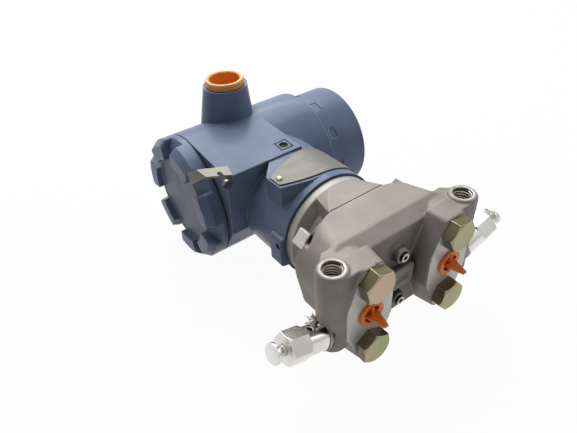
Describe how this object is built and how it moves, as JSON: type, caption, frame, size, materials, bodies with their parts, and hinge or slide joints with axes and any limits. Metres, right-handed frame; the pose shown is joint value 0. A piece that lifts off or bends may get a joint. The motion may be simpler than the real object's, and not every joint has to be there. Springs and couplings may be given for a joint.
{
  "type": "differential pressure transmitter",
  "caption": "Two-wire differential pressure transmitter: a two-chamber electronics head that turns on a sensor module, bolted to a coplanar process flange with drain valves.",
  "frame": {"origin": "midway between the mouths of the two bracket holes in the front of the flange", "axes": "+X from the castellated terminal cover towards the smooth display cover, -Y out of the bracket holes and the conduit entry, +Z from the process ports up the neck"},
  "size_m": [0.1564, 0.1002, 0.1914],
  "materials": {
    "housing_paint": "gloss",
    "cast_stainless": "matt as cast",
    "bright_stainless": "polished",
    "zinc_plated_steel": "yellow passivated",
    "brass": "satin",
    "orange_plastic": "satin",
    "red_plastic": "satin",
    "white_tape": "matt",
    "black_rubber": "matt",
    "label_stock": "satin",
    "glass": "clear",
    "dark_plastic": "matt",
    "board": "satin",
    "display_grey": "satin"
  },
  "bodies": {
    "process_flange": {"coplanar_flange": "cast_stainless", "flange_bolts": "zinc_plated_steel", "alignment_screws": "bright_stainless", "isolating_diaphragms": "bright_stainless", "diaphragm_seals": "white_tape", "drain_valve_body_right": "bright_stainless", "drain_valve_body_left": "bright_stainless", "thread_sealing_tape": "white_tape", "port_plug_right": "red_plastic", "port_plug_left": "red_plastic", "sensor_module": "cast_stainless", "neck_seal": "black_rubber"},
    "electronics_head": {"electronics_housing": "housing_paint", "rotation_set_screw": "bright_stainless", "nameplate": "bright_stainless", "nameplate_screws": "brass", "conduit_plug": "orange_plastic", "ground_hole_plug": "dark_plastic", "terminal_cover": "housing_paint", "terminal_cover_label": "label_stock", "terminal_cover_seal": "black_rubber", "cover_clamp": "brass", "clamp_screw": "brass", "terminal_block": "dark_plastic", "terminal_screws": "bright_stainless", "electronics_board": "board", "board_standoffs": "bright_stainless", "display_module": "dark_plastic", "display_panel": "display_grey"},
    "display_cover_seal": {"display_cover_seal": "black_rubber"},
    "display_cover": {"display_cover": "housing_paint", "glass_seal": "black_rubber", "display_glass": "glass", "glass_retaining_ring": "bright_stainless"},
    "drain_ball_right": {"drain_ball_right": "bright_stainless"},
    "drain_stem_right": {"drain_stem_right": "bright_stainless"},
    "drain_ball_left": {"drain_ball_left": "bright_stainless"},
    "drain_stem_left": {"drain_stem_left": "bright_stainless"}
  },
  "joints": [
    {"name": "head_rotation", "type": "hinge", "parent": "process_flange", "child": "electronics_head", "pos_m": [0, 0.0311, 0.061], "axis": [0, 0, 1], "range_deg": [-180, 180]},
    {"name": "display_cover_travel", "type": "slide", "parent": "electronics_head", "child": "display_cover_seal", "axis": [1, 0, 0], "range_m": [0, 0.01]},
    {"name": "display_cover_turn", "type": "hinge", "parent": "display_cover_seal", "child": "display_cover", "pos_m": [0.04, 0.0329, 0.1315], "axis": [1, 0, 0], "range_deg": [0, 1801]},
    {"name": "drain_travel_right", "type": "slide", "parent": "process_flange", "child": "drain_ball_right", "axis": [0.9563, -0.2924, 0], "range_m": [0, 0.0018]},
    {"name": "drain_turn_right", "type": "hinge", "parent": "drain_ball_right", "child": "drain_stem_right", "pos_m": [0.0476, 0.0402, 0.0005], "axis": [0.9563, -0.2924, 0], "range_deg": [0, 649]},
    {"name": "drain_travel_left", "type": "slide", "parent": "process_flange", "child": "drain_ball_left", "axis": [-0.9563, -0.2924, 0], "range_m": [0, 0.0018]},
    {"name": "drain_turn_left", "type": "hinge", "parent": "drain_ball_left", "child": "drain_stem_left", "pos_m": [-0.0476, 0.0402, 0.0005], "axis": [-0.9563, -0.2924, 0], "range_deg": [0, 649]}
  ],
  "couplings": [
    {"joint": "display_cover_turn", "follows": "display_cover_travel", "rad_per_m": 3141.6},
    {"joint": "drain_turn_right", "follows": "drain_travel_right", "rad_per_m": 6283.2},
    {"joint": "drain_turn_left", "follows": "drain_travel_left", "rad_per_m": 6283.2}
  ]
}
